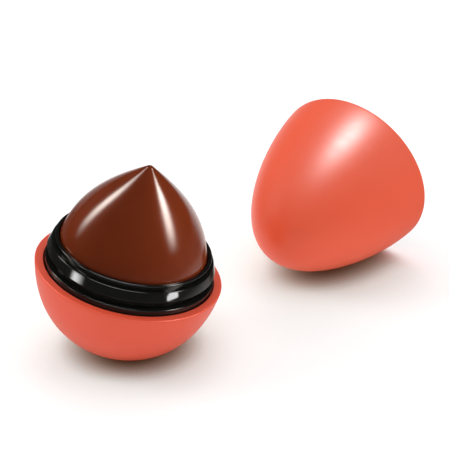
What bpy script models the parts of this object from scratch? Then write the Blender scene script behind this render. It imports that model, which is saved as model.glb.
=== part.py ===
"""Egg-shaped lip balm, standing open with its cap laid on its side beside it.

Units are metres and +Z is up. The origin is the centre of the base's flat foot on the table.
The cap lies with its closed end towards -Y and its mouth towards +Y.
Outlines are lists of (radius, height) points, turned round the axis of the base or of the cap.
"""
import math

import bmesh
import bpy
from mathutils import Euler, Matrix, Vector

# The running gap between pieces that seat in one another
FIT_GAP = 0.0003

# The bowl, measured along its own axis from the plane of its rim
EGG_RADIUS = 0.0200
BOWL_DEPTH = 0.0190
BOWL_SLOPE = math.radians(7.75)
BOWL_SIDE_PULL = 0.0135
BOWL_FOOT_PULL = 0.0094
BOWL_WALL = 0.0016
RIM_LAND = 0.0017
RIM_EDGE = 0.0003
SOCKET_DEPTH = 0.0025
LEDGE_WIDTH = 0.0016

# How the base stands: it leans, and its foot is cut flat where it meets the table
LEAN = math.radians(12.2)
LEAN_HEADING = math.radians(26.3)
FOOT_CUT = 0.0007

# The neck collar, upwards from the plane of the rim
FLANGE_RISE = 0.00115
GROOVE_DEPTH = 0.0013
GROOVE_SLANT = 0.0010
BAND_SETBACK = 0.0001
BAND_START = 0.0030
BAND_HEIGHT = 0.0019
BAND_TAPER = 0.0007
NOTCH_DEPTH = 0.0004
LIP_SETBACK = 0.0012
LIP_RISE = 0.0013
LIP_WIDTH = 0.00085
SKIRT_DEPTH = 0.0055
SKIRT_WALL = 0.0010
SHOULDER_WIDTH = 0.0011
SHOULDER_THICKNESS = 0.0011
SMALL_ROUNDING = 0.00015

# The anchor tray under the balm
TRAY_THICKNESS = 0.0010
RIB_WIDTH = 0.0012
RIB_RISE = 0.0014
RIB_LENGTH = 0.0220
HOLE_COUNT = 4
HOLE_RADIUS = 0.0016
HOLE_CIRCLE = 0.0085

# The balm, a dome drawn in to a soft point
BALM_DEPTH = 0.0028
BALM_STAND = 0.0001
DOME_HEIGHT = 0.0186
DOME_SLOPE = math.radians(14.1)
DOME_SIDE_PULL = 0.0082
DOME_TIP_PULL = 0.0109
TIP_SLOPE = math.radians(36.2)
TIP_ROUNDING = 0.0012

# The cap, measured along its own axis from its mouth
CAP_HEIGHT = 0.0340
CAP_SLOPE = math.radians(3.7)
CAP_SIDE_PULL = 0.0118
CAP_END_PULL = 0.0115
CAP_WALL = 0.0009
MOUTH_EDGE = 0.0004
LINER_WALL = 0.00055
LINER_GRIP = 0.0002
LINER_LEAD = 0.0004
LINER_FLARE = 0.0002

# Where the cap lies
CAP_DROOP = math.radians(12.7)
CAP_STANDOFF = 0.01465
CAP_SIDESTEP = 0.0125

# How finely round shapes are drawn
SIDES = 48
BOWL_STEPS = 14
CAP_STEPS = 16
DOME_STEPS = 14
CORNER_STEPS = 2
EDGE_SHARE = 0.45
TIP_STEPS = 3
SECTION_STEPS = 400
WELD = 0.000001
SHARP_ANGLE = math.radians(35)

# Radii of the collar and the balm, from the bowl inwards
SOCKET_RADIUS = EGG_RADIUS - RIM_LAND
LEDGE_RADIUS = SOCKET_RADIUS - LEDGE_WIDTH
FLANGE_RADIUS = SOCKET_RADIUS - FIT_GAP
GROOVE_RADIUS = FLANGE_RADIUS - GROOVE_DEPTH
BAND_RADIUS = FLANGE_RADIUS - BAND_SETBACK
LIP_RADIUS = BAND_RADIUS - LIP_SETBACK
COLLAR_BORE = LIP_RADIUS - LIP_WIDTH
BALM_RADIUS = COLLAR_BORE - FIT_GAP

# Heights of the collar and the balm, from the rim upwards
BAND_TOP = BAND_START + BAND_HEIGHT
LIP_TOP = BAND_TOP + LIP_RISE
BALM_FLOOR = LIP_TOP - BALM_DEPTH
TRAY_TOP = BALM_FLOOR - FIT_GAP
TRAY_FLOOR = TRAY_TOP - TRAY_THICKNESS
SHOULDER_TOP = TRAY_FLOOR - FIT_GAP
RIB_TOP = TRAY_TOP + RIB_RISE

# Linear colours, and the roughness of each surface
CORAL = (0.75, 0.10, 0.06, 1.0)
BLACK = (0.015, 0.014, 0.013, 1.0)
BROWN = (0.13, 0.026, 0.010, 1.0)
SATIN_ROUGHNESS = 0.45
GLOSS_ROUGHNESS = 0.12
BALM_ROUGHNESS = 0.22


def clear_scene():
    """Remove whatever the scene holds."""
    for thing in list(bpy.data.objects):
        bpy.data.objects.remove(thing)


def plastic(name, colour, roughness):
    """A plain coloured surface."""
    material = bpy.data.materials.new(name)
    material.use_nodes = True
    shader = material.node_tree.nodes["Principled BSDF"]
    shader.inputs["Base Color"].default_value = colour
    shader.inputs["Roughness"].default_value = roughness
    shader.inputs["Metallic"].default_value = 0.0
    return material


def bezier(corners, steps):
    """Points along the cubic curve of four control points, both ends included."""
    points = []
    for step in range(steps + 1):
        t = step / steps
        weights = ((1 - t) ** 3, 3 * t * (1 - t) ** 2, 3 * t * t * (1 - t), t ** 3)
        points.append(tuple(sum(w * c[axis] for w, c in zip(weights, corners)) for axis in (0, 1)))
    return points


def half_egg(edge, length, slope, side_pull, end_pull, steps):
    """Half an egg from its edge, which starts just past the mouth, to its closed end."""
    start = (EGG_RADIUS, edge)
    side = (EGG_RADIUS - side_pull * math.sin(slope), edge + side_pull * math.cos(slope))
    return bezier((start, side, (end_pull, length), (0.0, length)), steps)


def bowl_curve(steps):
    """The bowl's outside as (radius, depth below the rim)."""
    return half_egg(RIM_EDGE, BOWL_DEPTH, BOWL_SLOPE, BOWL_SIDE_PULL, BOWL_FOOT_PULL, steps)


def cap_curve(steps):
    """The cap's outside as (radius, distance from the mouth)."""
    return half_egg(MOUTH_EDGE, CAP_HEIGHT, CAP_SLOPE, CAP_SIDE_PULL, CAP_END_PULL, steps)


def inset(points, wall):
    """The curve that lies one wall inside a half egg."""
    moved = []
    for index, (radius, height) in enumerate(points):
        before = points[max(index - 1, 0)]
        after = points[min(index + 1, len(points) - 1)]
        along = Vector((after[0] - before[0], after[1] - before[1])).normalized()
        moved.append((radius - along.y * wall, height + along.x * wall))
    moved[-1] = (0.0, points[-1][1] - wall)
    return moved


def narrower_than(points, limit):
    """The stretch of a narrowing curve from the place where its radius is the limit."""
    for index, (here, there) in enumerate(zip(points, points[1:])):
        if there[0] < limit:
            share = (here[0] - limit) / (here[0] - there[0])
            height = here[1] + share * (there[1] - here[1])
            return [(limit, height)] + points[index + 1:]
    return points[-1:]


def higher_than(points, limit):
    """The stretch of a rising curve from the place where its height is the limit."""
    for index, (here, there) in enumerate(zip(points, points[1:])):
        if there[1] > limit:
            share = (limit - here[1]) / (there[1] - here[1])
            radius = here[0] + share * (there[0] - here[0])
            return [(radius, limit)] + points[index + 1:]
    return points[-1:]


def rounded(corners, steps):
    """An outline whose (radius, height, rounding) corners are drawn as small arcs."""
    outline = []
    for index, (radius, height, rounding) in enumerate(corners):
        corner = Vector((radius, height))
        if rounding == 0:
            outline.append(tuple(corner))
            continue
        back = Vector(corners[index - 1][:2]) - corner
        ahead = Vector(corners[(index + 1) % len(corners)][:2]) - corner
        half_angle = back.angle(ahead) / 2
        longest = EDGE_SHARE * min(back.length, ahead.length)
        reach = min(rounding / math.tan(half_angle), longest)
        inward = (back.normalized() + ahead.normalized()).normalized()
        centre = corner + inward * reach / math.cos(half_angle)
        first = corner + back.normalized() * reach - centre
        last = corner + ahead.normalized() * reach - centre
        for step in range(steps + 1):
            spoke = first.lerp(last, step / steps).normalized() * first.length
            outline.append(tuple(centre + spoke))
    return outline


def edge_arc(radius, edge, sign, steps):
    """A rounded outer edge, from the flat end face out to the side."""
    points = []
    for step in range(steps):
        turn = step / steps * math.pi / 2
        points.append((radius - edge + edge * math.sin(turn), sign * (edge - edge * math.cos(turn))))
    return points


def turned(name, outline, material, parent):
    """Turn an outline round the local z axis into one solid."""
    shape = bmesh.new()
    ring = [shape.verts.new((radius, 0.0, height)) for radius, height in outline]
    edges = [shape.edges.new(pair) for pair in zip(ring, ring[1:])]
    if outline[0][0] > 0:
        edges.append(shape.edges.new((ring[-1], ring[0])))
    bmesh.ops.spin(shape, geom=ring + edges, cent=(0, 0, 0), axis=(0, 0, 1), angle=math.tau,
                   steps=SIDES, use_merge=True)
    bmesh.ops.remove_doubles(shape, verts=shape.verts, dist=WELD)
    bmesh.ops.recalc_face_normals(shape, faces=shape.faces)
    return as_object(name, shape, material, parent)


def as_object(name, shape, material, parent):
    """Give a finished shape its object, material and parent."""
    mesh = bpy.data.meshes.new(name)
    shape.to_mesh(mesh)
    shape.free()
    mesh.shade_smooth()
    mesh.set_sharp_from_angle(angle=SHARP_ANGLE)
    piece = bpy.data.objects.new(name, mesh)
    if material:
        mesh.materials.append(material)
    bpy.context.collection.objects.link(piece)
    piece.parent = parent
    return piece


def cutter_block(name, low, high):
    """A hidden block that another solid is cut with."""
    middle = (Vector(low) + Vector(high)) / 2
    size = Vector(high) - Vector(low)
    shape = bmesh.new()
    place = Matrix.Translation(middle) @ Matrix.Diagonal((*size, 1.0))
    bmesh.ops.create_cube(shape, size=1.0, matrix=place)
    return hide(as_object(name, shape, None, None))


def cross_block(name, bottom, top, gap, parent):
    """A hidden upright cross, the tray's ribs or, with a gap round them, the balm's slots."""
    shape = bmesh.new()
    low, high = [[shape.verts.new((x, y, height)) for x, y in cross_outline(gap)]
                 for height in (bottom, top)]
    shape.faces.new(low)
    shape.faces.new(high)
    for index in range(len(low)):
        shape.faces.new((low[index - 1], low[index], high[index], high[index - 1]))
    bmesh.ops.recalc_face_normals(shape, faces=shape.faces)
    return hide(as_object(name, shape, None, parent))


def cross_outline(gap):
    """The corners of two crossed bars, a quarter turn at a time."""
    long = RIB_LENGTH / 2 + gap
    narrow = RIB_WIDTH / 2 + gap
    corners = []
    for cosine, sine in ((1, 0), (0, 1), (-1, 0), (0, -1)):
        for x, y in ((long, -narrow), (long, narrow), (narrow, narrow)):
            corners.append((x * cosine - y * sine, x * sine + y * cosine))
    return corners


def hide(piece):
    """Mark a piece as a tool for Booleans only."""
    piece.hide_render = True
    piece.display_type = "WIRE"
    return piece


def combine(piece, tool, operation):
    """Cut a piece with a tool, or join the tool to it."""
    modifier = piece.modifiers.new(tool.name, "BOOLEAN")
    modifier.object = tool
    modifier.operation = operation
    modifier.solver = "EXACT"


def standing_height():
    """How high the rim's centre is once the foot is cut flat on the table."""
    return max(lean_depth(radius, depth) for radius, depth in bowl_section()) - FOOT_CUT


def bowl_section():
    """The bowl's outside on both sides of its axis, positive radii on the side that leans down."""
    side = bowl_curve(SECTION_STEPS)
    return [(-radius, depth) for radius, depth in side] + side[::-1]


def lean_depth(radius, depth):
    """How far a point of the leaning bowl is below the rim's centre."""
    return radius * math.sin(LEAN) + depth * math.cos(LEAN)


def foot_offset():
    """How far the foot's centre is from the rim's centre, along the heading of the lean."""
    floor = standing_height()
    flat = [radius * math.cos(LEAN) - depth * math.sin(LEAN)
            for radius, depth in bowl_section() if lean_depth(radius, depth) > floor]
    return (min(flat) + max(flat)) / 2


def base_place():
    """The centre of the bowl's rim, with the foot's centre at the origin."""
    offset = foot_offset()
    return Vector((-offset * math.cos(LEAN_HEADING), -offset * math.sin(LEAN_HEADING),
                   standing_height()))


def cap_place():
    """The centre of the cap's mouth, with the cap's side resting on the table."""
    height = max(radius * math.cos(CAP_DROOP) + along * math.sin(CAP_DROOP)
                 for radius, along in cap_curve(SECTION_STEPS))
    reach = EGG_RADIUS + CAP_STANDOFF + CAP_HEIGHT * math.cos(CAP_DROOP)
    beside = base_place() + Vector((CAP_SIDESTEP, reach, 0))
    return Vector((beside.x, beside.y, height))


def axis_frame(name, place, turn):
    """An empty that carries the pieces of one half of the egg."""
    frame = bpy.data.objects.new(name, None)
    frame.location = place
    frame.rotation_euler = turn
    bpy.context.collection.objects.link(frame)
    return frame


def make_base_shell(frame, material):
    """The bowl: a ring-shaped rim, a socket and ledge for the collar, and a flat foot."""
    outside = [(radius, -depth) for radius, depth in bowl_curve(BOWL_STEPS)]
    inside = [(radius, -depth) for radius, depth in
              narrower_than(inset(bowl_curve(BOWL_STEPS), BOWL_WALL), LEDGE_RADIUS)]
    rim = edge_arc(EGG_RADIUS, RIM_EDGE, -1, CORNER_STEPS)
    socket = [(SOCKET_RADIUS, 0.0), (SOCKET_RADIUS, -SOCKET_DEPTH), (LEDGE_RADIUS, -SOCKET_DEPTH)]
    shell = turned("base_shell", outside[::-1] + rim[::-1] + socket + inside, material, frame)
    low = (-EGG_RADIUS, -EGG_RADIUS, -BOWL_DEPTH)
    table = cutter_block("foot_cutter", low, (EGG_RADIUS, EGG_RADIUS, 0.0))
    combine(shell, table, "DIFFERENCE")


def make_neck_collar(frame, material):
    """The collar: lip, notch, gripping band, groove and flange outside, and a skirt in the bowl."""
    skirt_radius = LEDGE_RADIUS - FIT_GAP
    skirt_bore = skirt_radius - SKIRT_WALL
    shoulder_bore = COLLAR_BORE - SHOULDER_WIDTH
    flange_floor = FIT_GAP - SOCKET_DEPTH
    band_top_radius = BAND_RADIUS - BAND_TAPER
    corners = [
        (COLLAR_BORE, LIP_TOP, SMALL_ROUNDING),
        (LIP_RADIUS, LIP_TOP, SMALL_ROUNDING),
        (LIP_RADIUS - NOTCH_DEPTH, BAND_TOP, 0),
        (band_top_radius, BAND_TOP, SMALL_ROUNDING),
        (BAND_RADIUS, BAND_START, SMALL_ROUNDING),
        (GROOVE_RADIUS + GROOVE_SLANT, BAND_START, 0),
        (GROOVE_RADIUS, FLANGE_RISE, 0),
        (FLANGE_RADIUS, FLANGE_RISE, SMALL_ROUNDING),
        (FLANGE_RADIUS, flange_floor, 0),
        (skirt_radius, flange_floor, 0),
        (skirt_radius, -SKIRT_DEPTH, 0),
        (skirt_bore, -SKIRT_DEPTH, 0),
        (skirt_bore, 0.0, 0),
        (shoulder_bore, SHOULDER_TOP - SHOULDER_THICKNESS, 0),
        (shoulder_bore, SHOULDER_TOP, 0),
        (COLLAR_BORE, SHOULDER_TOP, 0),
    ]
    turned("neck_collar", rounded(corners, CORNER_STEPS), material, frame)


def make_balm_tray(frame, material):
    """The anchor disc on the collar's shoulder, with crossed ribs and holes that key the balm."""
    disc = [(0.0, TRAY_FLOOR), (BALM_RADIUS, TRAY_FLOOR), (BALM_RADIUS, TRAY_TOP), (0.0, TRAY_TOP)]
    tray = turned("balm_tray", disc, material, frame)
    middle = (TRAY_FLOOR + TRAY_TOP) / 2
    combine(tray, cross_block("ribs", middle, RIB_TOP, 0.0, frame), "UNION")
    for hole in range(HOLE_COUNT):
        angle = (hole + 0.5) / HOLE_COUNT * math.tau
        pin = turned(f"hole_cutter_{hole + 1}", hole_outline(), None, frame)
        pin.location = (HOLE_CIRCLE * math.cos(angle), HOLE_CIRCLE * math.sin(angle), 0.0)
        # Half a side's turn keeps the pin's corners off the edges of the disc
        pin.rotation_euler.z = math.pi / SIDES
        combine(tray, hide(pin), "DIFFERENCE")


def hole_outline():
    """A pin that passes right through the tray."""
    low = TRAY_FLOOR - TRAY_THICKNESS
    high = TRAY_TOP + TRAY_THICKNESS
    return [(0.0, low), (HOLE_RADIUS, low), (HOLE_RADIUS, high), (0.0, high)]


def dome_curve():
    """The balm's outside above the collar, from its foot to the edge of its rounded tip."""
    start = (BALM_RADIUS, LIP_TOP + BALM_STAND)
    point = start[1] + DOME_HEIGHT
    side = (start[0] - DOME_SIDE_PULL * math.sin(DOME_SLOPE),
            start[1] + DOME_SIDE_PULL * math.cos(DOME_SLOPE))
    shoulder = (DOME_TIP_PULL * math.cos(TIP_SLOPE), point - DOME_TIP_PULL * math.sin(TIP_SLOPE))
    tip_edge = TIP_ROUNDING * math.sin(TIP_SLOPE)
    sharp = bezier((start, side, shoulder, (0.0, point)), DOME_STEPS)
    return [place for place in sharp if place[0] > tip_edge] + tip_arc(point)


def tip_arc(point):
    """The rounded tip, which touches the slopes of the sharp point that it replaces."""
    centre = point - TIP_ROUNDING / math.cos(TIP_SLOPE)
    turns = [TIP_SLOPE * (1 - step / TIP_STEPS) for step in range(TIP_STEPS + 1)]
    return [(TIP_ROUNDING * math.sin(turn), centre + TIP_ROUNDING * math.cos(turn)) for turn in turns]


def make_balm(frame, material):
    """The balm: a short puck in the collar and the dome above it, slotted over the tray's ribs."""
    puck = [(0.0, BALM_FLOOR), (BALM_RADIUS, BALM_FLOOR)]
    balm = turned("balm", puck + dome_curve(), material, frame)
    slots = cross_block("slots", TRAY_FLOOR, RIB_TOP + FIT_GAP, FIT_GAP, frame)
    combine(balm, slots, "DIFFERENCE")


def make_cap_shell(frame, material):
    """The cap's outer moulding."""
    outside = cap_curve(CAP_STEPS)
    inside = inset(outside, CAP_WALL)
    mouth = [(EGG_RADIUS - CAP_WALL, 0.0)] + edge_arc(EGG_RADIUS, MOUTH_EDGE, 1, CORNER_STEPS)
    turned("cap_shell", inside[::-1] + mouth + outside, material, frame)


def make_cap_liner(frame, material):
    """The cap's inner cup, whose bead catches under the collar's band when the cap is on."""
    start = FLANGE_RISE + FIT_GAP
    bead_top = BAND_START - FIT_GAP
    bead_radius = BAND_RADIUS - LINER_GRIP
    outside = higher_than(inset(cap_curve(CAP_STEPS), CAP_WALL + FIT_GAP), start)
    inside = higher_than(inset(cap_curve(CAP_STEPS), CAP_WALL + FIT_GAP + LINER_WALL),
                         bead_top + LINER_LEAD)
    bead = [(bead_radius, bead_top), (bead_radius, bead_top - LINER_LEAD),
            (bead_radius + LINER_FLARE, start)]
    turned("cap_liner", inside[::-1] + bead + outside, material, frame)


def main():
    """Build the whole object."""
    clear_scene()
    coral = plastic("coral", CORAL, SATIN_ROUGHNESS)
    black = plastic("black", BLACK, GLOSS_ROUGHNESS)
    brown = plastic("brown", BROWN, BALM_ROUGHNESS)
    base = axis_frame("base_frame", base_place(), Euler((0.0, LEAN, LEAN_HEADING)))
    cap = axis_frame("cap_frame", cap_place(), Euler((math.pi / 2 + CAP_DROOP, 0.0, 0.0)))
    make_base_shell(base, coral)
    make_neck_collar(base, black)
    make_balm_tray(base, black)
    make_balm(base, brown)
    make_cap_shell(cap, coral)
    make_cap_liner(cap, black)


main()
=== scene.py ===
import math
from collections import namedtuple

import bmesh
import bpy
from mathutils import Euler, Matrix, Vector


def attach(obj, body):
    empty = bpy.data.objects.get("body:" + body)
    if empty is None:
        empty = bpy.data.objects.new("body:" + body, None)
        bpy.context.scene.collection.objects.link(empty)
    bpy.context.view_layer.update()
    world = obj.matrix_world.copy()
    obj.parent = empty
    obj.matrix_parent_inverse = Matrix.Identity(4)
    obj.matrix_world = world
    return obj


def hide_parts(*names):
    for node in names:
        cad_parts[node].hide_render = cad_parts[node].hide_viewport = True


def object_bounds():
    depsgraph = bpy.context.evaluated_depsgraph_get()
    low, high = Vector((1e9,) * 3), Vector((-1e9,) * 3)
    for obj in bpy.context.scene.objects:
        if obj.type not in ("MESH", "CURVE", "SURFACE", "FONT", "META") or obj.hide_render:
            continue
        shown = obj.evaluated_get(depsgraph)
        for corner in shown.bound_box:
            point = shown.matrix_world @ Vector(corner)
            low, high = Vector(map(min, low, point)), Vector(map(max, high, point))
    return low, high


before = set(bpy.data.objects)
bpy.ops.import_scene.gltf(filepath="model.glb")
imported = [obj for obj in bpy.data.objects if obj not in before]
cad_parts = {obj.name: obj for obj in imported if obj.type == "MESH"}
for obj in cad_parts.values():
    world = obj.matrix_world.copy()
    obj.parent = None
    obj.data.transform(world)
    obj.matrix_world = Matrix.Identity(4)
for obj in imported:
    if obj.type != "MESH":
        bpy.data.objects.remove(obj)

# The looks of the egg-shaped lip balm: finely turned pieces, their finishes, the camera and the light.
# Units are metres. Outlines are lists of (radius, height) points, as in the CAD source, drawn finer.

# The running gap between pieces that seat in one another
FIT_GAP = 0.0003

# The bowl, measured along its own axis from the plane of its rim
EGG_RADIUS = 0.0200
BOWL_DEPTH = 0.0190
BOWL_SLOPE = math.radians(7.75)
BOWL_SIDE_PULL = 0.0135
BOWL_FOOT_PULL = 0.0094
BOWL_WALL = 0.0016
RIM_LAND = 0.0017
RIM_EDGE = 0.0003
SOCKET_DEPTH = 0.0025
LEDGE_WIDTH = 0.0016

# How the base stands
LEAN = math.radians(12.2)
LEAN_HEADING = math.radians(26.3)
FOOT_CUT = 0.0007

# The neck collar, upwards from the plane of the rim
FLANGE_RISE = 0.00115
GROOVE_DEPTH = 0.0013
GROOVE_SLANT = 0.0010
BAND_SETBACK = 0.0001
BAND_START = 0.0030
BAND_HEIGHT = 0.0019
BAND_TAPER = 0.0007
NOTCH_DEPTH = 0.0004
LIP_SETBACK = 0.0012
LIP_RISE = 0.0013
LIP_WIDTH = 0.00085
SKIRT_DEPTH = 0.0055
SKIRT_WALL = 0.0010
SHOULDER_WIDTH = 0.0011
SHOULDER_THICKNESS = 0.0011
SMALL_ROUNDING = 0.00015

# The anchor tray under the balm, which keeps its CAD shape
TRAY_THICKNESS = 0.0010
RIB_RISE = 0.0014

# The balm, a dome drawn in to a soft point
BALM_DEPTH = 0.0028
BALM_STAND = 0.0001
DOME_HEIGHT = 0.0186
DOME_SLOPE = math.radians(14.1)
DOME_SIDE_PULL = 0.0082
DOME_TIP_PULL = 0.0109
TIP_SLOPE = math.radians(36.2)
TIP_ROUNDING = 0.0012

# The cap, measured along its own axis from its mouth
CAP_HEIGHT = 0.0340
CAP_SLOPE = math.radians(3.7)
CAP_SIDE_PULL = 0.0118
CAP_END_PULL = 0.0115
CAP_WALL = 0.0009
MOUTH_EDGE = 0.0004
LINER_WALL = 0.00055
LINER_GRIP = 0.0002
LINER_LEAD = 0.0004
LINER_FLARE = 0.0002

# Where the cap lies
CAP_DROOP = math.radians(12.7)
CAP_STANDOFF = 0.01465
CAP_SIDESTEP = 0.0125

# How finely round shapes are drawn
SIDES = 192
CURVE_STEPS = 72
CORNER_STEPS = 6
TIP_STEPS = 10
EDGE_SHARE = 0.45
SECTION_STEPS = 400
CUT_TOLERANCE = 0.000001
SHARP_ANGLE = math.radians(35)

# Radii of the collar and the balm, from the bowl inwards
SOCKET_RADIUS = EGG_RADIUS - RIM_LAND
LEDGE_RADIUS = SOCKET_RADIUS - LEDGE_WIDTH
FLANGE_RADIUS = SOCKET_RADIUS - FIT_GAP
GROOVE_RADIUS = FLANGE_RADIUS - GROOVE_DEPTH
BAND_RADIUS = FLANGE_RADIUS - BAND_SETBACK
LIP_RADIUS = BAND_RADIUS - LIP_SETBACK
COLLAR_BORE = LIP_RADIUS - LIP_WIDTH
BALM_RADIUS = COLLAR_BORE - FIT_GAP

# Heights of the collar and the balm, from the rim upwards
BAND_TOP = BAND_START + BAND_HEIGHT
LIP_TOP = BAND_TOP + LIP_RISE
BALM_FLOOR = LIP_TOP - BALM_DEPTH
TRAY_TOP = BALM_FLOOR - FIT_GAP
TRAY_FLOOR = TRAY_TOP - TRAY_THICKNESS
SHOULDER_TOP = TRAY_FLOOR - FIT_GAP
RIB_TOP = TRAY_TOP + RIB_RISE

# The camera, aimed from the centre of the bowl's rim, with its angles in degrees
CAMERA_AZIMUTH = 37.15
CAMERA_ELEVATION = 26.15
CAMERA_DISTANCE = 0.29079
CAMERA_LENS = 111.81
CAMERA_SENSOR = 36.0
VIEW_OFFSET = Vector((0.01612, 0.01222, 0.01014))

# Linear colours with their opacity
CORAL = (0.78, 0.082, 0.034, 1.0)
CORAL_DEEP = (0.75, 0.074, 0.030, 1.0)
# The cap's coral is a lighter copy of the bowl's: painted light, standing in for the brighter light on
# the cap
CAP_CORAL_PAINTED_LIGHT = (0.87, 0.100, 0.036, 1.0)
CAP_CORAL_DEEP_PAINTED_LIGHT = (0.84, 0.091, 0.032, 1.0)
BLACK = (0.009, 0.009, 0.008, 1.0)
BLACK_DEEP = (0.007, 0.007, 0.006, 1.0)
LINER_GREY = (0.030, 0.030, 0.031, 1.0)
LINER_GREY_DEEP = (0.024, 0.024, 0.025, 1.0)
BROWN = (0.118, 0.0185, 0.0042, 1.0)
BROWN_DEEP = (0.102, 0.0150, 0.0033, 1.0)
WHITE = (1.0, 1.0, 1.0, 1.0)
STRIP_TINT = (1.0, 0.92, 0.84, 1.0)

# The least and the most roughness of each finish
CORAL_ROUGHNESS = (0.38, 0.46)
COLLAR_ROUGHNESS = (0.06, 0.10)
LINER_ROUGHNESS = (0.3, 0.4)
TRAY_ROUGHNESS = (0.2, 0.3)
WAX_ROUGHNESS = (0.13, 0.19)

# The make of each finish, where a grain is the scale and the detail of a noise pattern
Finish = namedtuple("Finish", "specular colour_grain rough_grain bump_grain bump_height bump_strength")
SATIN_PLASTIC = Finish(specular=0.5, colour_grain=(90.0, 2.0), rough_grain=(400.0, 3.0),
                       bump_grain=(5000.0, 2.0), bump_height=0.00002, bump_strength=0.15)
BLACK_PLASTIC = Finish(specular=0.35, colour_grain=(120.0, 2.0), rough_grain=(500.0, 3.0),
                       bump_grain=(700.0, 2.0), bump_height=0.00001, bump_strength=0.2)
SMOOTH_WAX = Finish(specular=0.5, colour_grain=(110.0, 3.0), rough_grain=(350.0, 3.0),
                    bump_grain=(220.0, 1.0), bump_height=0.00004, bump_strength=0.15)

# How light enters the wax
WAX_SUBSURFACE = 0.15
WAX_SCATTER = (1.0, 0.35, 0.2)
WAX_SCATTER_REACH = 0.001

# The fill from all round, stronger from behind the object than from the camera's side
WORLD_BEHIND = 1.12
WORLD_IN_FRONT = 0.64

# The floor, with painted shade near the object: a dark painted contact shadow close in and a wider
# painted tint against the coral's pink bounce light; it fades to white further out
FLOOR_SIZE = 12.0
FADE_START = 0.16
FADE_END = 0.45
CONTACT_REACH = 0.007
CONTACT_OPEN = 0.8
# The dark colour of the painted contact shadow
CONTACT_PAINTED_SHADE = (0.34, 0.12, 0.05, 1.0)
WIDE_REACH = 0.10
WIDE_OPEN = 1.0
# The colour of the wide painted tint, which cancels the pink of the coral's bounce light in the floor's
# shade
WIDE_PAINTED_TINT = (0.92, 1.46, 1.42, 1.0)
MOUTH_FADE = 0.005

# Pale parts of what gloss shows, round an azimuth in degrees and between two cosines from it
Sector = namedtuple("Sector", "azimuth start end high")
PALE_BEHIND = Sector(azimuth=168, start=0.66, end=1.0, high=1.0)
PALE_RIGHT = Sector(azimuth=100, start=0.75, end=1.0, high=0.15)
BACKDROP = Sector(azimuth=-165, start=0.86, end=0.97, high=1.0)

# The floor in gloss: dark, but half pale close to the base
GLOSS_DARK = 0.06
CLOSE_PALE = 0.6
CLOSE_START = 0.045
CLOSE_END = 0.11

# The room in gloss: dark, with a backdrop between two shares of the room's radius in height
ROOM_RADIUS = 1.5
ROOM_SIDES = 48
ROOM_DARK = 0.01
BACKDROP_GLOW = 0.38
BACKDROP_START = 0.1
BACKDROP_END = 0.38

# Bent light cards, along paths of (azimuth, elevation) and as wide as said, in degrees
Card = namedtuple("Card", "path width power side_fade low_fade high_fade tint")
LEFT_CARD = Card(path=[(-99, 9), (-103, 20), (-105, 32), (-110, 46), (-114, 57), (-106, 69)],
                 width=17, power=24, side_fade=0.4, low_fade=0.75, high_fade=0.4, tint=STRIP_TINT)
RIGHT_CARD = Card(path=[(69, 3), (70, 10), (72, 18), (75, 25), (81, 34), (88.5, 41), (97, 44)],
                  width=24, power=38, side_fade=0.5, low_fade=0.98, high_fade=0.12, tint=STRIP_TINT)
LEFT_PATCH = Card(path=[(-79, 11), (-52, 13)],
                  width=19, power=22, side_fade=0.35, low_fade=0.35, high_fade=0.65, tint=WHITE)
CARD_STEPS = 8

# Oval lights that gloss alone shows, in a direction of (azimuth, elevation) degrees
Glint = namedtuple("Glint", "way size radiance")
RIGHT_PATCH = Glint(way=(62, -8), size=(0.030, 0.024), radiance=22)
CAP_GLINT = Glint(way=(80, 85), size=(0.20, 0.20), radiance=165)
COLLAR_GLINT = Glint(way=(90, 85), size=(0.6, 0.6), radiance=12)

# Square lamps that gloss doesn't show, in a direction of (azimuth, elevation) degrees
Lamp = namedtuple("Lamp", "way size power")
ROOM_LAMPS = {
    "top_lamp": Lamp(way=(0, 90), size=0.5, power=0.6),
    "back_lamp": Lamp(way=(180, 55), size=0.4, power=0.5),
    "left_lamp": Lamp(way=(-95, 30), size=0.4, power=1.5),
    "right_lamp": Lamp(way=(80, 25), size=0.4, power=0.9),
}
BALM_LAMPS = {
    "balm_right": Lamp(way=(85, 18), size=0.4, power=5.6),
    "balm_left": Lamp(way=(-135, 15), size=0.4, power=6.0),
}

# How far off the lights are, and where round the collar's band its two patches lie, in degrees
CARD_DISTANCE = 0.9
LAMP_DISTANCE = 0.8
PATCH_DISTANCE = 0.1
LEFT_PATCH_TURN = -116
RIGHT_PATCH_TURN = -50


def bezier(corners, steps):
    """Points along the cubic curve of four control points, both ends included."""
    points = []
    for step in range(steps + 1):
        t = step / steps
        weights = ((1 - t) ** 3, 3 * t * (1 - t) ** 2, 3 * t * t * (1 - t), t ** 3)
        points.append(tuple(sum(w * c[axis] for w, c in zip(weights, corners)) for axis in (0, 1)))
    return points


def half_egg(edge, length, slope, side_pull, end_pull, steps):
    """Half an egg from its edge, which starts just past the mouth, to its closed end."""
    start = (EGG_RADIUS, edge)
    side = (EGG_RADIUS - side_pull * math.sin(slope), edge + side_pull * math.cos(slope))
    return bezier((start, side, (end_pull, length), (0.0, length)), steps)


def bowl_curve(steps):
    """The bowl's outside as (radius, depth below the rim)."""
    return half_egg(RIM_EDGE, BOWL_DEPTH, BOWL_SLOPE, BOWL_SIDE_PULL, BOWL_FOOT_PULL, steps)


def cap_curve(steps):
    """The cap's outside as (radius, distance from the mouth)."""
    return half_egg(MOUTH_EDGE, CAP_HEIGHT, CAP_SLOPE, CAP_SIDE_PULL, CAP_END_PULL, steps)


def inset(points, wall):
    """The curve that lies one wall inside a half egg."""
    moved = []
    for index, (radius, height) in enumerate(points):
        before = points[max(index - 1, 0)]
        after = points[min(index + 1, len(points) - 1)]
        along = Vector((after[0] - before[0], after[1] - before[1])).normalized()
        moved.append((radius - along.y * wall, height + along.x * wall))
    moved[-1] = (0.0, points[-1][1] - wall)
    return moved


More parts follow.
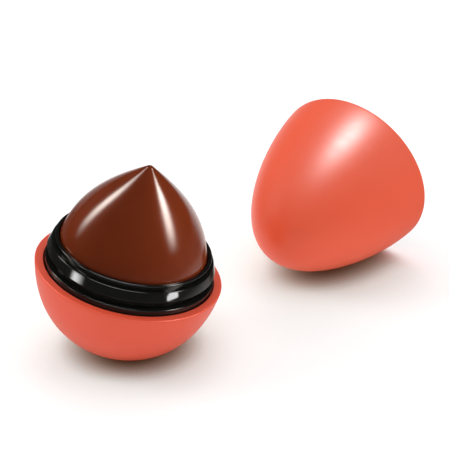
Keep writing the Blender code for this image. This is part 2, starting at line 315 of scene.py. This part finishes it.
def narrower_than(points, limit):
    """The stretch of a narrowing curve from the place where its radius is the limit."""
    for index, (here, there) in enumerate(zip(points, points[1:])):
        if there[0] < limit:
            share = (here[0] - limit) / (here[0] - there[0])
            height = here[1] + share * (there[1] - here[1])
            return [(limit, height)] + points[index + 1:]
    return points[-1:]


def higher_than(points, limit):
    """The stretch of a rising curve from the place where its height is the limit."""
    for index, (here, there) in enumerate(zip(points, points[1:])):
        if there[1] > limit:
            share = (limit - here[1]) / (there[1] - here[1])
            radius = here[0] + share * (there[0] - here[0])
            return [(radius, limit)] + points[index + 1:]
    return points[-1:]


def rounded(corners, steps):
    """An outline whose (radius, height, rounding) corners are drawn as small arcs."""
    outline = []
    for index, (radius, height, rounding) in enumerate(corners):
        corner = Vector((radius, height))
        if rounding == 0:
            outline.append(tuple(corner))
            continue
        back = Vector(corners[index - 1][:2]) - corner
        ahead = Vector(corners[(index + 1) % len(corners)][:2]) - corner
        half_angle = back.angle(ahead) / 2
        longest = EDGE_SHARE * min(back.length, ahead.length)
        reach = min(rounding / math.tan(half_angle), longest)
        inward = (back.normalized() + ahead.normalized()).normalized()
        centre = corner + inward * reach / math.cos(half_angle)
        first = corner + back.normalized() * reach - centre
        last = corner + ahead.normalized() * reach - centre
        for step in range(steps + 1):
            spoke = first.lerp(last, step / steps).normalized() * first.length
            outline.append(tuple(centre + spoke))
    return outline


def edge_arc(radius, edge, sign, steps):
    """A rounded outer edge, from the flat end face out to the side."""
    points = []
    for step in range(steps):
        turn = step / steps * math.pi / 2
        points.append((radius - edge + edge * math.sin(turn), sign * (edge - edge * math.cos(turn))))
    return points


def bowl_section():
    """The bowl's outside on both sides of its axis, positive radii on the side that leans down."""
    side = bowl_curve(SECTION_STEPS)
    return [(-radius, depth) for radius, depth in side] + side[::-1]


def lean_depth(radius, depth):
    """How far a point of the leaning bowl is below the rim's centre."""
    return radius * math.sin(LEAN) + depth * math.cos(LEAN)


def standing_height():
    """How high the rim's centre is once the foot is cut flat on the table."""
    return max(lean_depth(radius, depth) for radius, depth in bowl_section()) - FOOT_CUT


def foot_offset():
    """How far the foot's centre is from the rim's centre, along the heading of the lean."""
    floor = standing_height()
    flat = [radius * math.cos(LEAN) - depth * math.sin(LEAN)
            for radius, depth in bowl_section() if lean_depth(radius, depth) > floor]
    return (min(flat) + max(flat)) / 2


def base_place():
    """The centre of the bowl's rim, with the foot's centre at the origin."""
    offset = foot_offset()
    return Vector((-offset * math.cos(LEAN_HEADING), -offset * math.sin(LEAN_HEADING),
                   standing_height()))


def cap_place():
    """The centre of the cap's mouth, with the cap's side resting on the table."""
    height = max(radius * math.cos(CAP_DROOP) + along * math.sin(CAP_DROOP)
                 for radius, along in cap_curve(SECTION_STEPS))
    reach = EGG_RADIUS + CAP_STANDOFF + CAP_HEIGHT * math.cos(CAP_DROOP)
    beside = base_place() + Vector((CAP_SIDESTEP, reach, 0))
    return Vector((beside.x, beside.y, height))


def turned(outline):
    """Turn an outline round the local z axis into one solid, with one vertex where it meets the axis."""
    shape = bmesh.new()
    turns = [math.tau * side / SIDES for side in range(SIDES)]
    rings = []
    for radius, height in outline:
        places = [(radius * math.cos(turn), radius * math.sin(turn), height) for turn in turns]
        if radius > 0:
            rings.append([shape.verts.new(place) for place in places])
        else:
            rings.append([shape.verts.new(places[0])] * SIDES)
    if outline[0][0] > 0:
        rings.append(rings[0])
    for here, there in zip(rings, rings[1:]):
        for side in range(SIDES):
            corners = (here[side - 1], here[side], there[side], there[side - 1])
            shape.faces.new(list(dict.fromkeys(corners)))
    bmesh.ops.recalc_face_normals(shape, faces=shape.faces)
    return shape


def as_object(name, shape, material):
    """An object made of a finished shape."""
    mesh = bpy.data.meshes.new(name)
    shape.to_mesh(mesh)
    shape.free()
    mesh.materials.append(material)
    thing = bpy.data.objects.new(name, mesh)
    bpy.context.collection.objects.link(thing)
    return thing


def as_piece(name, shape, matrix, material, body, node):
    """Give a finished shape its object, place, material and body, in place of its CAD node."""
    shape.transform(matrix)
    piece = as_object(name, shape, material)
    piece.data.shade_smooth()
    piece.data.set_sharp_from_angle(angle=SHARP_ANGLE)
    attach(piece, body)
    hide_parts(node)
    return piece


def make_bowl(matrix, material):
    """The bowl, with its foot cut flat on the table."""
    outside = [(radius, -depth) for radius, depth in bowl_curve(CURVE_STEPS)]
    inside = [(radius, -depth) for radius, depth in
              narrower_than(inset(bowl_curve(CURVE_STEPS), BOWL_WALL), LEDGE_RADIUS)]
    rim = edge_arc(EGG_RADIUS, RIM_EDGE, -1, CORNER_STEPS)
    socket = [(SOCKET_RADIUS, 0.0), (SOCKET_RADIUS, -SOCKET_DEPTH), (LEDGE_RADIUS, -SOCKET_DEPTH)]
    shape = turned(outside[::-1] + rim[::-1] + socket + inside)
    cut_foot(shape, matrix)
    return as_piece("bowl", shape, matrix, material, "base", "base_shell")


def cut_foot(shape, matrix):
    """Slice off what is below the table and close the foot with one flat face."""
    local = matrix.inverted()
    up = (local.to_3x3() @ Vector((0, 0, 1))).normalized()
    everything = shape.verts[:] + shape.edges[:] + shape.faces[:]
    cut = bmesh.ops.bisect_plane(shape, geom=everything, dist=CUT_TOLERANCE,
                                 plane_co=local.translation, plane_no=up, clear_inner=True)
    loop = [item for item in cut["geom_cut"] if isinstance(item, bmesh.types.BMEdge)]
    bmesh.ops.edgeloop_fill(shape, edges=loop)
    bmesh.ops.recalc_face_normals(shape, faces=shape.faces)


def make_collar(matrix, material):
    """The collar: lip, notch, gripping band, groove and flange outside, and a skirt in the bowl."""
    skirt_radius = LEDGE_RADIUS - FIT_GAP
    skirt_bore = skirt_radius - SKIRT_WALL
    shoulder_bore = COLLAR_BORE - SHOULDER_WIDTH
    flange_floor = FIT_GAP - SOCKET_DEPTH
    corners = [
        (COLLAR_BORE, LIP_TOP, SMALL_ROUNDING),
        (LIP_RADIUS, LIP_TOP, SMALL_ROUNDING),
        (LIP_RADIUS - NOTCH_DEPTH, BAND_TOP, 0),
        (BAND_RADIUS - BAND_TAPER, BAND_TOP, SMALL_ROUNDING),
        (BAND_RADIUS, BAND_START, SMALL_ROUNDING),
        (GROOVE_RADIUS + GROOVE_SLANT, BAND_START, 0),
        (GROOVE_RADIUS, FLANGE_RISE, 0),
        (FLANGE_RADIUS, FLANGE_RISE, SMALL_ROUNDING),
        (FLANGE_RADIUS, flange_floor, 0),
        (skirt_radius, flange_floor, 0),
        (skirt_radius, -SKIRT_DEPTH, 0),
        (skirt_bore, -SKIRT_DEPTH, 0),
        (skirt_bore, 0.0, 0),
        (shoulder_bore, SHOULDER_TOP - SHOULDER_THICKNESS, 0),
        (shoulder_bore, SHOULDER_TOP, 0),
        (COLLAR_BORE, SHOULDER_TOP, 0),
    ]
    shape = turned(rounded(corners, CORNER_STEPS))
    return as_piece("collar", shape, matrix, material, "base", "neck_collar")


def dome_curve():
    """The balm's outside above the collar, from its foot to the edge of its rounded tip."""
    start = (BALM_RADIUS, LIP_TOP + BALM_STAND)
    point = start[1] + DOME_HEIGHT
    side = (start[0] - DOME_SIDE_PULL * math.sin(DOME_SLOPE),
            start[1] + DOME_SIDE_PULL * math.cos(DOME_SLOPE))
    shoulder = (DOME_TIP_PULL * math.cos(TIP_SLOPE), point - DOME_TIP_PULL * math.sin(TIP_SLOPE))
    tip_edge = TIP_ROUNDING * math.sin(TIP_SLOPE)
    sharp = bezier((start, side, shoulder, (0.0, point)), CURVE_STEPS)
    return [place for place in sharp if place[0] > tip_edge] + tip_arc(point)


def tip_arc(point):
    """The rounded tip, which touches the slopes of the sharp point that it replaces."""
    centre = point - TIP_ROUNDING / math.cos(TIP_SLOPE)
    turns = [TIP_SLOPE * (1 - step / TIP_STEPS) for step in range(TIP_STEPS + 1)]
    return [(TIP_ROUNDING * math.sin(turn), centre + TIP_ROUNDING * math.cos(turn)) for turn in turns]


def make_dome(matrix, material):
    """The balm: a short puck in the collar and the dome above it."""
    puck = [(0.0, RIB_TOP + FIT_GAP), (BALM_RADIUS, RIB_TOP + FIT_GAP)]
    shape = turned(puck + dome_curve())
    return as_piece("balm_dome", shape, matrix, material, "base", "balm")


def make_cap(matrix, material):
    """The cap's outer moulding."""
    outside = cap_curve(CURVE_STEPS)
    inside = inset(outside, CAP_WALL)
    mouth = [(EGG_RADIUS - CAP_WALL, 0.0)] + edge_arc(EGG_RADIUS, MOUTH_EDGE, 1, CORNER_STEPS)
    shape = turned(inside[::-1] + mouth + outside)
    return as_piece("cap_outer", shape, matrix, material, "cap", "cap_shell")


def make_liner(matrix, material):
    """The cap's inner cup, with the bead that catches under the collar's band."""
    start = FLANGE_RISE + FIT_GAP
    bead_top = BAND_START - FIT_GAP
    bead_radius = BAND_RADIUS - LINER_GRIP
    outside = higher_than(inset(cap_curve(CURVE_STEPS), CAP_WALL + FIT_GAP), start)
    inside = higher_than(inset(cap_curve(CURVE_STEPS), CAP_WALL + FIT_GAP + LINER_WALL),
                         bead_top + LINER_LEAD)
    bead = [(bead_radius, bead_top), (bead_radius, bead_top - LINER_LEAD),
            (bead_radius + LINER_FLARE, start)]
    shape = turned(inside[::-1] + bead + outside)
    return as_piece("cap_inner", shape, matrix, material, "cap", "cap_liner")


def feed(tree, socket, value):
    """Give a socket a fixed value, or link it to another node's output."""
    if isinstance(value, bpy.types.NodeSocket):
        tree.links.new(value, socket)
    else:
        socket.default_value = value


def mapped(tree, value, start, end, low, high):
    """A value read off a smooth ramp."""
    ramp = tree.nodes.new("ShaderNodeMapRange")
    ramp.interpolation_type = "SMOOTHSTEP"
    ramp.inputs["From Min"].default_value = start
    ramp.inputs["From Max"].default_value = end
    ramp.inputs["To Min"].default_value = low
    ramp.inputs["To Max"].default_value = high
    tree.links.new(value, ramp.inputs["Value"])
    return ramp.outputs["Result"]


def mixed(tree, share, first, second, kind="RGBA", blend="MIX"):
    """Two colours, or two plain values of the kind FLOAT, mixed by a share."""
    mix = tree.nodes.new("ShaderNodeMix")
    mix.data_type = kind
    mix.blend_type = blend
    feed(tree, mix.inputs["Factor"], share)
    feed(tree, mix.inputs["A"], first)
    feed(tree, mix.inputs["B"], second)
    return mix.outputs["Result"]


def product(tree, first, second):
    """Two values multiplied."""
    times = tree.nodes.new("ShaderNodeMath")
    times.operation = "MULTIPLY"
    tree.links.new(first, times.inputs[0])
    tree.links.new(second, times.inputs[1])
    return times.outputs["Value"]


def added(tree, first, second):
    """Two values added, up to one."""
    total = tree.nodes.new("ShaderNodeMath")
    total.operation = "ADD"
    total.use_clamp = True
    tree.links.new(first, total.inputs[0])
    tree.links.new(second, total.inputs[1])
    return total.outputs["Value"]


def vector_step(tree, operation, first, second=(0.0, 0.0, 0.0)):
    """The node of one operation on a linked vector, with a fixed one where it takes two."""
    step = tree.nodes.new("ShaderNodeVectorMath")
    step.operation = operation
    tree.links.new(first, step.inputs[0])
    step.inputs[1].default_value = second
    return step


def own_place(tree):
    """The place of a point in its object's own coordinates."""
    return tree.nodes.new("ShaderNodeTexCoord").outputs["Object"]


def part_of(tree, vector, axis):
    """The X, Y or Z part of a vector."""
    parts = tree.nodes.new("ShaderNodeSeparateXYZ")
    tree.links.new(vector, parts.inputs["Vector"])
    return parts.outputs[axis]


def noise(tree, scale, detail):
    """A noise pattern in the piece's own coordinates."""
    pattern = tree.nodes.new("ShaderNodeTexNoise")
    pattern.inputs["Scale"].default_value = scale
    pattern.inputs["Detail"].default_value = detail
    tree.links.new(own_place(tree), pattern.inputs["Vector"])
    return pattern.outputs["Fac"]


def wandering(tree, pattern, low, high):
    """A value that wanders between two others by a pattern."""
    spread = tree.nodes.new("ShaderNodeMapRange")
    spread.inputs["To Min"].default_value = low
    spread.inputs["To Max"].default_value = high
    tree.links.new(pattern, spread.inputs["Value"])
    return spread.outputs["Result"]


def raised(tree, pattern, height, strength):
    """The surface raised a little by a pattern, up to the given height."""
    bump = tree.nodes.new("ShaderNodeBump")
    bump.inputs["Distance"].default_value = height
    bump.inputs["Strength"].default_value = strength
    tree.links.new(pattern, bump.inputs["Height"])
    return bump.outputs["Normal"]


def finished(name, finish, roughness, deep, full):
    """A Principled material of two close colours, with a fine grain."""
    material = bpy.data.materials.new(name)
    material.use_nodes = True
    tree = material.node_tree
    shader = tree.nodes["Principled BSDF"]
    colour = mixed(tree, noise(tree, *finish.colour_grain), deep, full)
    rough = wandering(tree, noise(tree, *finish.rough_grain), *roughness)
    grain = raised(tree, noise(tree, *finish.bump_grain), finish.bump_height, finish.bump_strength)
    shader.inputs["Specular IOR Level"].default_value = finish.specular
    tree.links.new(colour, shader.inputs["Base Color"])
    tree.links.new(rough, shader.inputs["Roughness"])
    tree.links.new(grain, shader.inputs["Normal"])
    return material


def balm_wax():
    """Glossy wax that lets a little light in."""
    material = finished("balm_wax", SMOOTH_WAX, WAX_ROUGHNESS, BROWN_DEEP, BROWN)
    shader = material.node_tree.nodes["Principled BSDF"]
    shader.inputs["Subsurface Weight"].default_value = WAX_SUBSURFACE
    shader.inputs["Subsurface Radius"].default_value = WAX_SCATTER
    shader.inputs["Subsurface Scale"].default_value = WAX_SCATTER_REACH
    return material


def compass(azimuth, elevation):
    """A direction out from the object in degrees, with its azimuth counted to the camera's right."""
    heading = math.radians(CAMERA_AZIMUTH + azimuth)
    rise = math.radians(elevation)
    level = math.cos(rise)
    return Vector((math.sin(heading) * level, -math.cos(heading) * level, math.sin(rise)))


def seen_directly(tree):
    """One where a ray comes from the camera, a gloss or a glass, and zero for the light's own bounces."""
    path = tree.nodes.new("ShaderNodeLightPath")
    total = path.outputs["Is Camera Ray"]
    for kind in ("Is Glossy Ray", "Is Transmission Ray"):
        total = added(tree, total, path.outputs[kind])
    return total


def light_world():
    """A soft fill, weaker from the front, that the camera and gloss see as white."""
    world = bpy.data.worlds.new("studio")
    world.use_nodes = True
    tree = world.node_tree
    place = tree.nodes.new("ShaderNodeTexCoord").outputs["Generated"]
    ahead = vector_step(tree, "DOT_PRODUCT", place, compass(0, 0)).outputs["Value"]
    fill = mapped(tree, ahead, -1.0, 1.0, WORLD_BEHIND, WORLD_IN_FRONT)
    strength = mixed(tree, seen_directly(tree), fill, 1.0, kind="FLOAT")
    background = tree.nodes["Background"]
    background.inputs["Color"].default_value = WHITE
    tree.links.new(strength, background.inputs["Strength"])
    bpy.context.scene.world = world


def painted_shade_near(tree, reach, near, open_enough):
    """A painted shade colour close to the object that turns white where enough of the sky is open within
    reach.
    """
    sky = tree.nodes.new("ShaderNodeAmbientOcclusion")
    sky.inputs["Distance"].default_value = reach
    return mixed(tree, mapped(tree, sky.outputs["AO"], 0.0, open_enough, 0.0, 1.0), near, WHITE)


def tinted(tree, colour, other):
    """Two colours multiplied."""
    return mixed(tree, 1.0, colour, other, blend="MULTIPLY")


def facing(tree, place, sector, reach=1.0):
    """A ramp by how nearly places as far out as the reach lie in a sector's direction."""
    share = vector_step(tree, "DOT_PRODUCT", place, compass(sector.azimuth, 0) / reach)
    return mapped(tree, share.outputs["Value"], sector.start, sector.end, 0.0, sector.high)


def gloss_tone(tree, place, beside):
    """How pale the floor looks in gloss: dark in front of the base, pale behind it."""
    offset = vector_step(tree, "SUBTRACT", place, (beside.x, beside.y, 0.0)).outputs["Vector"]
    way = vector_step(tree, "NORMALIZE", offset).outputs["Vector"]
    reach = vector_step(tree, "LENGTH", offset).outputs["Value"]
    tone = mapped(tree, reach, CLOSE_START, CLOSE_END, CLOSE_PALE, 0.0)
    for sector in (PALE_BEHIND, PALE_RIGHT):
        tone = added(tree, tone, facing(tree, way, sector))
    return mapped(tree, tone, 0.0, 1.0, GLOSS_DARK, 1.0)


def past_mouth(tree, place, mouth):
    """One on the floor in front of the cap's mouth, where no coral tints the light, so the painted tint
    against the coral's pink bounce is left off there.
    """
    return mapped(tree, part_of(tree, place, "Y"), mouth - MOUTH_FADE, mouth + MOUTH_FADE, 0.0, 1.0)


def floor_material(beside, mouth):
    """Pale paper that keeps shadows near the object, with painted shade darkening and tinting them there,
    and is white further out.
    """
    material = bpy.data.materials.new("floor_paper")
    material.use_nodes = True
    tree = material.node_tree
    tree.nodes.clear()
    place = own_place(tree)
    path = tree.nodes.new("ShaderNodeLightPath")
    in_gloss = gloss_tone(tree, place, beside)
    tone = mixed(tree, path.outputs["Is Glossy Ray"], 1.0, in_gloss, kind="FLOAT")
    # Painted contact shadow: the paper is darkened where the object is close
    painted_contact_shade = painted_shade_near(tree, CONTACT_REACH, CONTACT_PAINTED_SHADE, CONTACT_OPEN)
    # Painted tint that cancels the pink of the coral's bounce light on the floor, left off in front of
    # the cap's mouth
    painted_bounce_tint = painted_shade_near(tree, WIDE_REACH, WIDE_PAINTED_TINT, WIDE_OPEN)
    painted_bounce_tint = mixed(tree, past_mouth(tree, place, mouth), painted_bounce_tint, WHITE)
    paper = tree.nodes.new("ShaderNodeBsdfDiffuse")
    tree.links.new(tinted(tree, tinted(tree, tone, painted_contact_shade), painted_bounce_tint), paper.inputs["Color"])
    white = tree.nodes.new("ShaderNodeEmission")
    tree.links.new(tone, white.inputs["Strength"])
    distance = vector_step(tree, "LENGTH", place).outputs["Value"]
    far = mapped(tree, distance, FADE_START, FADE_END, 0.0, 1.0)
    blend = tree.nodes.new("ShaderNodeMixShader")
    tree.links.new(product(tree, far, seen_directly(tree)), blend.inputs["Fac"])
    tree.links.new(paper.outputs["BSDF"], blend.inputs[1])
    tree.links.new(white.outputs["Emission"], blend.inputs[2])
    output = tree.nodes.new("ShaderNodeOutputMaterial")
    tree.links.new(blend.outputs["Shader"], output.inputs["Surface"])
    return material


def make_floor(middle):
    """The table, centred under the object."""
    shape = bmesh.new()
    bmesh.ops.create_grid(shape, x_segments=1, y_segments=1, size=FLOOR_SIZE / 2)
    floor = as_object("floor", shape, floor_material(base_place() - middle, cap_place().y - middle.y))
    floor.location = (middle.x, middle.y, 0.0)


def only_in_gloss(thing):
    """Show a card or the room in reflections alone."""
    thing.visible_camera = False
    thing.visible_diffuse = False
    thing.visible_transmission = False
    thing.visible_volume_scatter = False
    thing.visible_shadow = False


def glow_material(name, tint, build_strength):
    """An emission whose strength a function works out."""
    material = bpy.data.materials.new(name)
    material.use_nodes = True
    tree = material.node_tree
    tree.nodes.clear()
    glow = tree.nodes.new("ShaderNodeEmission")
    glow.inputs["Color"].default_value = tint
    output = tree.nodes.new("ShaderNodeOutputMaterial")
    tree.links.new(build_strength(tree), glow.inputs["Strength"])
    tree.links.new(glow.outputs["Emission"], output.inputs["Surface"])
    return material


def make_room(middle):
    """The studio that gloss shows: dark, with a pale backdrop low down behind the object."""
    def strength(tree):
        """The backdrop's glow over the dark."""
        place = own_place(tree)
        height = part_of(tree, place, "Z")
        low = mapped(tree, height, BACKDROP_START * ROOM_RADIUS, BACKDROP_END * ROOM_RADIUS, 1.0, 0.0)
        back = facing(tree, place, BACKDROP, ROOM_RADIUS)
        return mapped(tree, product(tree, low, back), 0.0, 1.0, ROOM_DARK, BACKDROP_GLOW)

    shape = bmesh.new()
    bmesh.ops.create_uvsphere(shape, u_segments=ROOM_SIDES, v_segments=ROOM_SIDES // 2,
                              radius=ROOM_RADIUS)
    room = as_object("room", shape, glow_material("room_walls", WHITE, strength))
    room.location = (middle.x, middle.y, 0.0)
    only_in_gloss(room)


def bent_strip(path, width, distance):
    """A strip along a path of (azimuth, elevation) degrees, with its own chart from end to end."""
    ways = [compass(azimuth, elevation) for azimuth, elevation in path]
    spine = []
    for here, there in zip(ways, ways[1:]):
        spine += [here.slerp(there, step / CARD_STEPS) for step in range(CARD_STEPS)]
    spine.append(ways[-1])
    shape = bmesh.new()
    chart = shape.loops.layers.uv.new("chart")
    rows = []
    for index, way in enumerate(spine):
        ahead = spine[min(index + 1, len(spine) - 1)] - spine[max(index - 1, 0)]
        aside = way.cross(ahead).normalized() * math.radians(width) / 2
        rows.append([shape.verts.new((way + aside * side) * distance) for side in (-1, 1)])
    for index, (here, there) in enumerate(zip(rows, rows[1:])):
        face = shape.faces.new((here[0], here[1], there[1], there[0]))
        spots = ((0, 0), (1, 0), (1, 1), (0, 1))
        for loop, (across, forward) in zip(face.loops, spots):
            loop[chart].uv = (across, (index + forward) / (len(rows) - 1))
    return shape


def make_card(name, middle, distance, card, pieces):
    """A long soft light card, bent round the middle, that only the gloss of some pieces shows."""
    def strength(tree):
        """The card's power, faded towards its edges."""
        chart = tree.nodes.new("ShaderNodeUVMap").outputs["UV"]
        across = part_of(tree, chart, "X")
        along = part_of(tree, chart, "Y")
        sides = product(tree, mapped(tree, across, 0.0, card.side_fade, 0.0, 1.0),
                        mapped(tree, across, 1.0 - card.side_fade, 1.0, 1.0, 0.0))
        ends = product(tree, mapped(tree, along, 0.0, card.low_fade, 0.0, card.power),
                       mapped(tree, along, 1.0 - card.high_fade, 1.0, 1.0, 0.0))
        return product(tree, sides, ends)

    shape = bent_strip(card.path, card.width, distance)
    strip = as_object(name, shape, glow_material(name + "_glow", card.tint, strength))
    strip.location = middle
    only_in_gloss(strip)
    light_only(strip, pieces)


def light_only(light, pieces):
    """Let a card or lamp show on some pieces alone."""
    lit = bpy.data.collections.new(light.name + "_pieces")
    for piece in pieces:
        lit.objects.link(piece)
    light.light_linking.receiver_collection = lit


def area_light(name, middle, way, distance):
    """An area light aimed at the middle, which the camera doesn't see."""
    aim = compass(*way)
    light = bpy.data.objects.new(name, bpy.data.lights.new(name, "AREA"))
    light.location = middle + aim * distance
    light.rotation_euler = (-aim).to_track_quat("-Z", "Y").to_euler()
    light.visible_camera = False
    bpy.context.collection.objects.link(light)
    return light


def make_lamp(name, middle, lamp):
    """A square soft lamp for the even part of the light."""
    light = area_light(name, middle, lamp.way, LAMP_DISTANCE)
    light.data.size = lamp.size
    light.data.energy = lamp.power
    light.visible_glossy = False
    return light


def make_glint(name, middle, distance, glint, pieces):
    """An oval light that only the gloss of some pieces shows."""
    light = area_light(name, middle, glint.way, distance)
    light.data.shape = "ELLIPSE"
    light.data.size, light.data.size_y = glint.size
    area = math.pi / 4 * glint.size[0] * glint.size[1]
    light.data.energy = glint.radiance * math.pi * area
    light.visible_diffuse = False
    light_only(light, pieces)


def band_point(matrix, turn):
    """A point on the lower edge of the collar's band."""
    angle = math.radians(turn)
    return matrix @ Vector((BAND_RADIUS * math.cos(angle), BAND_RADIUS * math.sin(angle), BAND_START))


def make_camera():
    """The photograph's own view."""
    data = bpy.data.cameras.new("camera")
    data.lens = CAMERA_LENS
    data.sensor_width = CAMERA_SENSOR
    camera = bpy.data.objects.new("camera", data)
    back = compass(0, CAMERA_ELEVATION)
    camera.location = base_place() + VIEW_OFFSET + back * CAMERA_DISTANCE
    camera.rotation_euler = (-back).to_track_quat("-Z", "Y").to_euler()
    bpy.context.collection.objects.link(camera)
    bpy.context.scene.camera = camera


def finish_tray(material):
    """Give the CAD tray under the balm its finish."""
    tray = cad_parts["balm_tray"]
    tray.data.materials.clear()
    tray.data.materials.append(material)


def main():
    """Build the looks round the frame."""
    cad_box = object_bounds()
    middle = (cad_box[0] + cad_box[1]) / 2
    base = Matrix.LocRotScale(base_place(), Euler((0.0, LEAN, LEAN_HEADING)), None)
    cap = Matrix.LocRotScale(cap_place(), Euler((math.pi / 2 + CAP_DROOP, 0.0, 0.0)), None)
    bowl = make_bowl(base, finished("bowl_coral", SATIN_PLASTIC, CORAL_ROUGHNESS,
                                    CORAL_DEEP, CORAL))
    collar = make_collar(base, finished("black_gloss", BLACK_PLASTIC, COLLAR_ROUGHNESS,
                                        BLACK_DEEP, BLACK))
    dome = make_dome(base, balm_wax())
    # The cap takes the lighter copy of the coral: painted light for the brighter light on it
    cap_outer = make_cap(cap, finished("cap_coral_painted_light", SATIN_PLASTIC, CORAL_ROUGHNESS,
                                       CAP_CORAL_DEEP_PAINTED_LIGHT, CAP_CORAL_PAINTED_LIGHT))
    cap_inner = make_liner(cap, finished("black_satin", BLACK_PLASTIC, LINER_ROUGHNESS,
                                         LINER_GREY_DEEP, LINER_GREY))
    for piece in (cap_outer, cap_inner):
        piece.visible_glossy = False
    finish_tray(finished("black_tray", BLACK_PLASTIC, TRAY_ROUGHNESS, BLACK_DEEP, BLACK))
    light_world()
    make_floor(middle)
    make_room(middle)
    base_pieces = [dome, collar, bowl]
    left_band = band_point(base, LEFT_PATCH_TURN)
    right_band = band_point(base, RIGHT_PATCH_TURN)
    make_card("left_card", middle, CARD_DISTANCE, LEFT_CARD, base_pieces)
    make_card("right_card", middle, CARD_DISTANCE, RIGHT_CARD, base_pieces)
    make_card("left_patch", left_band, PATCH_DISTANCE, LEFT_PATCH, [collar])
    make_glint("right_patch", right_band, PATCH_DISTANCE, RIGHT_PATCH, [collar])
    make_glint("cap_glint", cap.translation, CARD_DISTANCE, CAP_GLINT, [cap_outer])
    make_glint("collar_glint", middle, CARD_DISTANCE, COLLAR_GLINT, [collar])
    for name, lamp in ROOM_LAMPS.items():
        make_lamp(name, middle, lamp)
    for name, lamp in BALM_LAMPS.items():
        light_only(make_lamp(name, middle, lamp), [dome])
    make_camera()
    bpy.context.scene.view_settings.view_transform = "Standard"


main()
